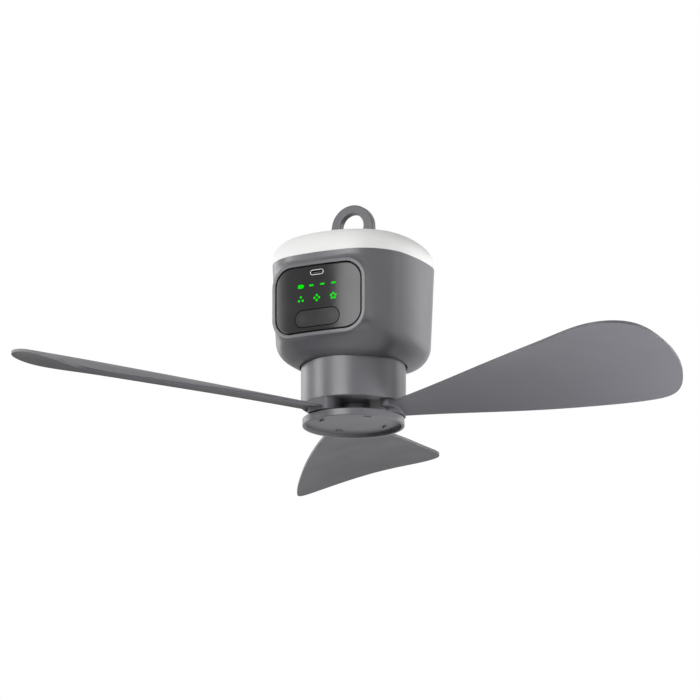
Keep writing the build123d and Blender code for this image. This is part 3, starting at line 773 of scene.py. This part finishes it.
    def front_depth(self, x: Array, z: Array) -> Array:
        """Finds the depth of the joined surface straight behind each place, by halving.

        Args:
            x: places across.
            z: heights.

        Returns:
            The depths.
        """
        near = np.full_like(x, -self.reach_back * self.half)
        far = np.full_like(x, -self.reach_out * self.half)
        for _ in range(SEARCH_ROUNDS):
            middle = (near + far) / 2
            inside = self.shell_distance(x, middle, z) < 0
            near, far = np.where(inside, middle, near), np.where(inside, far, middle)
        return near


@dataclass
class Lamp(SubAssembly):
    """The frosted dome with its ring of lamps, the frame under it and the loop that all hangs from."""

    nodes: tuple[str, ...] = ("diffuser_dome", "top_frame", "frame_screws", "hanging_loop", "loop_screws",
                              "led_board", "led_chips")


@dataclass
class ControlPanel(SubAssembly):
    """The smoked panel with its signs and key, the boards behind it and the socket's contacts.

    Attributes:
        contacts: how many lie on each face of the tongue, pitch millimetres apart.
        contact_size: width, length and thickness of one in millimetres.
        set_back: millimetres from the tongue's front to the contacts.
    """

    nodes: tuple[str, ...] = ("control_panel", "battery_lights", "speed_lights", "rocker_key", "key_lugs",
                              "control_board", "key_switches", "usb_shell", "usb_tongue")
    contacts: int = 12
    pitch: float = 0.5
    contact_size: tuple[float, float, float] = (0.28, 2.4, 0.06)
    set_back: float = 1.2

    def build(self, palette: Palette) -> None:
        """Lays the contacts on both faces of the socket's tongue.

        Args:
            palette: the materials by slot, which this method doesn't use.
        """
        shell = frame["nodes"]["usb_shell"].data
        shell.materials.clear()
        # the shell's finish paints shade inside the socket
        shell.materials.append(SOCKET_STEEL_PAINTED_SHADE.build())
        low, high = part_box("usb_tongue")
        width, length, thick = (size * MM for size in self.contact_size)
        middle_y = low.y + self.set_back * MM + length / 2
        tree = NodesPiece("socket_contacts", {
            "Contacts": ("NodeSocketInt", self.contacts),
            "Row": ("NodeSocketFloat", (self.contacts - 1) * self.pitch * MM),
            "Tongue": ("NodeSocketFloat", high.z - low.z),
            "Size": ("NodeSocketVector", (width, length, thick)),
            "Middle": ("NodeSocketVector", (0.0, middle_y, (low.z + high.z) / 2)),
            "Finish": ("NodeSocketMaterial", CONTACT_GOLD.build())})
        grid = tree.add("GeometryNodeMeshGrid", {"Size X": tree["Row"], "Size Y": tree["Tongue"],
                                                 "Vertices X": tree["Contacts"], "Vertices Y": 2})
        upright = tree.add("GeometryNodeTransform", {
            "Geometry": grid.outputs["Mesh"], "Rotation": (math.pi / 2, 0, 0), "Translation": tree["Middle"]})
        pad = tree.add("GeometryNodeMeshCube", {"Size": tree["Size"]})
        row = tree.add("GeometryNodeInstanceOnPoints", {"Points": upright.outputs[0],
                                                        "Instance": pad.outputs["Mesh"]})
        piece = tree.finish(row.outputs[0])
        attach(piece, "housing")


@dataclass
class PowerPack(SubAssembly):
    """The cells in their tray and the main board over them."""

    nodes: tuple[str, ...] = ("battery_cells", "battery_tray", "cell_tabs", "board_pillars", "main_board",
                              "board_parts")


@dataclass
class Motor(SubAssembly):
    """The plate, bearings and stator, with a coil of thick enamelled wire on every tooth.

    Attributes:
        teeth: how many coils there are, and turns how many turns each has.
        coil_width: millimetres across a coil.
        coil_inner_r: millimetres from the axis to a coil's first turn.
        wire_r: radius of the wire in millimetres, drawn with wire_sides sides.
        corner: radius of a turn's corners in millimetres, drawn in corner_steps steps.
    """

    nodes: tuple[str, ...] = ("motor_plate", "plate_screws", "bearing_tube", "upper_bearing", "lower_bearing",
                              "stator_core", "stator_windings")
    teeth: int = 12
    turns: int = 8
    coil_width: float = 5.8
    coil_inner_r: float = 11.9
    wire_r: float = 0.53
    corner: float = 1.0
    corner_steps: int = 3
    wire_sides: int = 8

    def build(self, palette: Palette) -> None:
        """Winds the coils, which stand for the plain CAD ones.

        Args:
            palette: the materials by slot.
        """
        low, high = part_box("stator_windings")
        wire = self.wire_r * MM
        pitch = (high.x - self.coil_inner_r * MM - 2 * wire) / (self.turns - 1)
        tree = NodesPiece("stator_coils", {
            "Teeth": ("NodeSocketInt", self.teeth), "Turns": ("NodeSocketInt", self.turns),
            "Width": ("NodeSocketFloat", self.coil_width * MM - 2 * wire),
            "Height": ("NodeSocketFloat", high.z - low.z - 2 * wire), "Wire": ("NodeSocketFloat", wire),
            "Corner": ("NodeSocketFloat", self.corner * MM), "Pitch": ("NodeSocketVector", (pitch, 0.0, 0.0)),
            "First": ("NodeSocketVector", (self.coil_inner_r * MM + wire, 0.0, (low.z + high.z) / 2)),
            "Step": ("NodeSocketFloat", 2 * math.pi / self.teeth),
            "Finish": ("NodeSocketMaterial", palette["copper"])})
        frame_line = tree.add("GeometryNodeCurvePrimitiveQuadrilateral", {"Width": tree["Width"],
                                                                          "Height": tree["Height"]})
        bent = tree.add("GeometryNodeFilletCurve", {
            "Curve": frame_line.outputs[0], "Radius": tree["Corner"], "Count": self.corner_steps,
            "Limit Radius": True}, {"mode": "POLY"})
        section = tree.add("GeometryNodeCurvePrimitiveCircle", {"Resolution": self.wire_sides,
                                                                "Radius": tree["Wire"]})
        turn = tree.add("GeometryNodeCurveToMesh", {"Curve": bent.outputs[0],
                                                    "Profile Curve": section.outputs[0]})
        upright = tree.add("GeometryNodeTransform", {"Geometry": turn.outputs[0],
                                                     "Rotation": (math.pi / 2, 0, math.pi / 2)})
        line = tree.add("GeometryNodeMeshLine", {"Count": tree["Turns"], "Start Location": tree["First"],
                                                 "Offset": tree["Pitch"]})
        coil = tree.add("GeometryNodeInstanceOnPoints", {"Points": line.outputs[0],
                                                         "Instance": upright.outputs[0]})
        hub = tree.add("GeometryNodeMeshLine", {"Count": tree["Teeth"], "Offset": (0.0, 0.0, 0.0)})
        number = tree.add("GeometryNodeInputIndex")
        angle = tree.add("ShaderNodeMath", {0: number.outputs[0], 1: tree["Step"]}, {"operation": "MULTIPLY"})
        spin = tree.add("ShaderNodeCombineXYZ", {"Z": angle.outputs[0]})
        around = tree.add("GeometryNodeInstanceOnPoints", {
            "Points": hub.outputs[0], "Instance": coil.outputs[0], "Rotation": spin.outputs[0]})
        piece = tree.finish(around.outputs[0])
        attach(piece, "housing")
        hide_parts("stator_windings")


@dataclass
class Rotor(SubAssembly):
    """The neck that turns with its magnets, shaft, hub column and three blades."""

    nodes: tuple[str, ...] = ("rotor_drum", "flux_ring", "magnets", "shaft", "shaft_clip", "hub_column",
                              "blade_1", "blade_2", "blade_3")


@dataclass
class LockCap(SubAssembly):
    """The dished cap that is turned to hold the blades."""

    nodes: tuple[str, ...] = ("lock_cap",)


def direction(azimuth: float, elevation: float) -> Vector:
    """Gives the way out from the fan to a camera or lamp.

    Args:
        azimuth: degrees round from the panel's front.
        elevation: degrees up from level.

    Returns:
        The direction, one long.
    """
    turn, lift = math.radians(azimuth), math.radians(elevation)
    return Vector((math.sin(turn) * math.cos(lift), -math.cos(turn) * math.cos(lift), math.sin(lift)))


@dataclass
class PhotoCamera:
    """The photograph's long lens, low in front and a little to the right of the panel.

    Attributes:
        azimuth: degrees round from the panel's front.
        elevation: degrees up from level.
        distance: metres to the fan's axis.
        aim_z: height that it looks at.
        mm_per_pixel: the photo's scale, and aim_pixel_x the column that the axis is in.
        sensor: its width in millimetres.
        nearest: metres to the first thing drawn, and farthest to the last.
    """

    azimuth: float = 28.0
    elevation: float = -14.25
    distance: float = 3.9
    aim_z: float = -76.28 * MM
    mm_per_pixel: float = 0.6
    aim_pixel_x: float = 353.5
    sensor: float = 36.0
    nearest: float = 0.1
    farthest: float = 100.0

    def build(self) -> None:
        """Makes the camera and sets it as the scene's own."""
        turn = math.radians(self.azimuth)
        back = direction(self.azimuth, self.elevation)
        right = Vector((math.cos(turn), math.sin(turn), 0))
        aside = (self.aim_pixel_x - PHOTO_PIXELS / 2) * self.mm_per_pixel * MM
        data = bpy.data.cameras.new("photo_camera")
        data.sensor_width = self.sensor
        data.lens = self.sensor * self.distance / (PHOTO_PIXELS * self.mm_per_pixel * MM)
        data.clip_start, data.clip_end = self.nearest, self.farthest
        camera = bpy.data.objects.new("photo_camera", data)
        camera.location = Vector((0, 0, self.aim_z)) + back * self.distance - right * aside
        camera.rotation_mode = "QUATERNION"
        camera.rotation_quaternion = (-back).to_track_quat("-Z", "Y")
        bpy.context.scene.collection.objects.link(camera)
        bpy.context.scene.camera = camera


@dataclass(frozen=True)
class BoxPlace:
    """Where a soft box stands round the fan, how large and strong it is, and what it looks at.

    Attributes:
        azimuth: degrees round from the panel's front, towards the right.
        elevation: degrees up from level.
        distance: metres from the fan's middle.
        width: metres across, and height upright.
        watts: power.
        look_x: metres from the fan's axis to where it looks, towards +X.
        mirrored: whether it shows in reflections, which fill lamps don't.
    """

    azimuth: float
    elevation: float
    distance: float
    width: float
    height: float
    watts: float
    look_x: float = 0.0
    mirrored: bool = True


class SoftBox(Enum):
    """The soft boxes: five that the glossy faces mirror, and three fill lamps."""

    FRONT = BoxPlace(-2.0, 9.0, 1.7, 1.0, 0.8, 18.5)
    FRONT_LEFT = BoxPlace(-54.0, 8.0, 1.7, 0.6, 0.8, 11.0)
    LEFT = BoxPlace(-105.0, 8.0, 1.7, 0.9, 1.1, 6.0)
    RIGHT = BoxPlace(112.0, 0.0, 1.7, 0.4, 0.8, 2.2)
    BACK_RIGHT = BoxPlace(150.0, 8.0, 1.7, 0.7, 0.8, 2.4)
    HIGH_RIGHT = BoxPlace(75.0, 60.0, 1.7, 0.8, 0.8, 6.5, mirrored=False)
    TIP_BELOW = BoxPlace(107.4, -28.3, 0.38, 0.15, 0.15, 1.8, 0.2, mirrored=False)
    TIP_SIDE = BoxPlace(74.0, -16.6, 0.456, 0.2, 0.2, 0.5, 0.2, mirrored=False)


def seen_plainly(tree: NodeTree) -> NodeSocket:
    """Gives 1 for what the camera sees straight, in a mirror or through glass, and 0 for other light.

    Args:
        tree: the tree that gets the nodes.

    Returns:
        The socket that carries it.
    """
    path = add(tree, "ShaderNodeLightPath").outputs
    seen = path["Is Camera Ray"]
    for kind in ("Is Glossy Ray", "Is Transmission Ray"):
        seen = add(tree, "ShaderNodeMath", {0: seen, 1: path[kind]}, {"operation": "MAXIMUM"}).outputs[0]
    return seen


@dataclass
class Studio:
    """A pale floor far below the hanging fan, soft boxes round it and a white surround.

    Attributes:
        floor_z: height of the floor in metres, and floor_half half its width.
        floor_colour: its colour, mottled towards floor_mottle at mottle_scale.
        floor_level: brightness of its even tone, which has floor_share of what the camera sees.
        ambient: strength of the surround's light on the fan.
        aim: the fan's middle.
    """

    floor_z: float = -1.6
    floor_half: float = 30.0
    floor_colour: str = "EDEDEC"
    floor_mottle: str = "F2F2F1"
    mottle_scale: float = 4.0
    floor_level: float = 0.95
    floor_share: float = 0.75
    ambient: float = 0.03
    aim: Vector = field(default_factory=lambda: Vector((0, 0, -0.08)))

    def build(self) -> None:
        """Makes the floor, the lamps and the world."""
        self.floor()
        for box in SoftBox:
            self.lamp(box)
        self.world()
        bpy.context.scene.view_settings.view_transform = "Standard"

    def floor(self) -> None:
        """Lays the floor, which can be seen through from underneath."""
        mesh = bpy.data.meshes.new("floor")
        half, z = self.floor_half, self.floor_z
        corners = [(-half, -half, z), (half, -half, z), (half, half, z), (-half, half, z)]
        mesh.from_pydata(corners, [], [(0, 1, 2, 3)])
        material = bpy.data.materials.new("floor_pale")
        material.use_nodes = True
        tree = material.node_tree
        tree.nodes.clear()
        mottle = add(tree, "ShaderNodeTexNoise", {"Scale": self.mottle_scale})
        tone = add(tree, "ShaderNodeMix", {"Factor": mottle.outputs["Fac"], "A": linear(self.floor_colour),
                                           "B": linear(self.floor_mottle)}, {"data_type": "RGBA"})
        matt = add(tree, "ShaderNodeBsdfDiffuse", {"Color": tone.outputs["Result"]})
        pale = add(tree, "ShaderNodeEmission", {"Color": tone.outputs["Result"],
                                                "Strength": self.floor_level})
        part = add(tree, "ShaderNodeMath", {0: seen_plainly(tree), 1: self.floor_share},
                   {"operation": "MULTIPLY"})
        lit = add(tree, "ShaderNodeMixShader", {0: part.outputs[0], 1: matt.outputs[0], 2: pale.outputs[0]})
        clear = add(tree, "ShaderNodeBsdfTransparent")
        below = add(tree, "ShaderNodeNewGeometry").outputs["Backfacing"]
        sheet = add(tree, "ShaderNodeMixShader", {0: below, 1: lit.outputs[0], 2: clear.outputs[0]})
        add(tree, "ShaderNodeOutputMaterial", {"Surface": sheet.outputs[0]})
        mesh.materials.append(material)
        floor = bpy.data.objects.new("floor", mesh)
        bpy.context.scene.collection.objects.link(floor)

    def lamp(self, box: SoftBox) -> None:
        """Hangs one soft box, turned towards the fan.

        Args:
            box: its place, size and power.
        """
        spot = box.value
        data = bpy.data.lights.new(f"soft_box_{box.name.lower()}", "AREA")
        data.shape, data.size, data.size_y, data.energy = "RECTANGLE", spot.width, spot.height, spot.watts
        lamp = bpy.data.objects.new(data.name, data)
        lamp.location = self.aim + direction(spot.azimuth, spot.elevation) * spot.distance
        lamp.rotation_mode = "QUATERNION"
        to_fan = self.aim + Vector((spot.look_x, 0, 0)) - lamp.location
        lamp.rotation_quaternion = to_fan.to_track_quat("-Z", "Y")
        lamp.visible_camera, lamp.visible_glossy = False, spot.mirrored
        bpy.context.scene.collection.objects.link(lamp)

    def world(self) -> None:
        """Makes the surround: white to look at and in reflections, dimmer as light on the fan."""
        world = bpy.data.worlds.new("studio_surround")
        bpy.context.scene.world = world
        world.use_nodes = True
        tree = world.node_tree
        tree.nodes.clear()
        seen = seen_plainly(tree)
        dim = add(tree, "ShaderNodeBackground", {"Color": (1, 1, 1, 1), "Strength": self.ambient})
        white = add(tree, "ShaderNodeBackground", {"Color": (1, 1, 1, 1), "Strength": 1.0})
        both = add(tree, "ShaderNodeMixShader", {0: seen, 1: dim.outputs[0], 2: white.outputs[0]})
        add(tree, "ShaderNodeOutputWorld", {"Surface": both.outputs[0]})


def main() -> None:
    """Sets the stage, then builds and dresses the sub-assemblies one after another."""
    logging.basicConfig(level=logging.INFO)
    PhotoCamera().build()
    Studio().build()
    palette = {slot: finish.build() for slot, finish in FINISHES.items()}
    for assembly in (Housing(), Lamp(), ControlPanel(), PowerPack(), Motor(), Rotor(), LockCap()):
        assembly.dress(palette)
        assembly.build(palette)


if __name__ == "__main__":
    main()
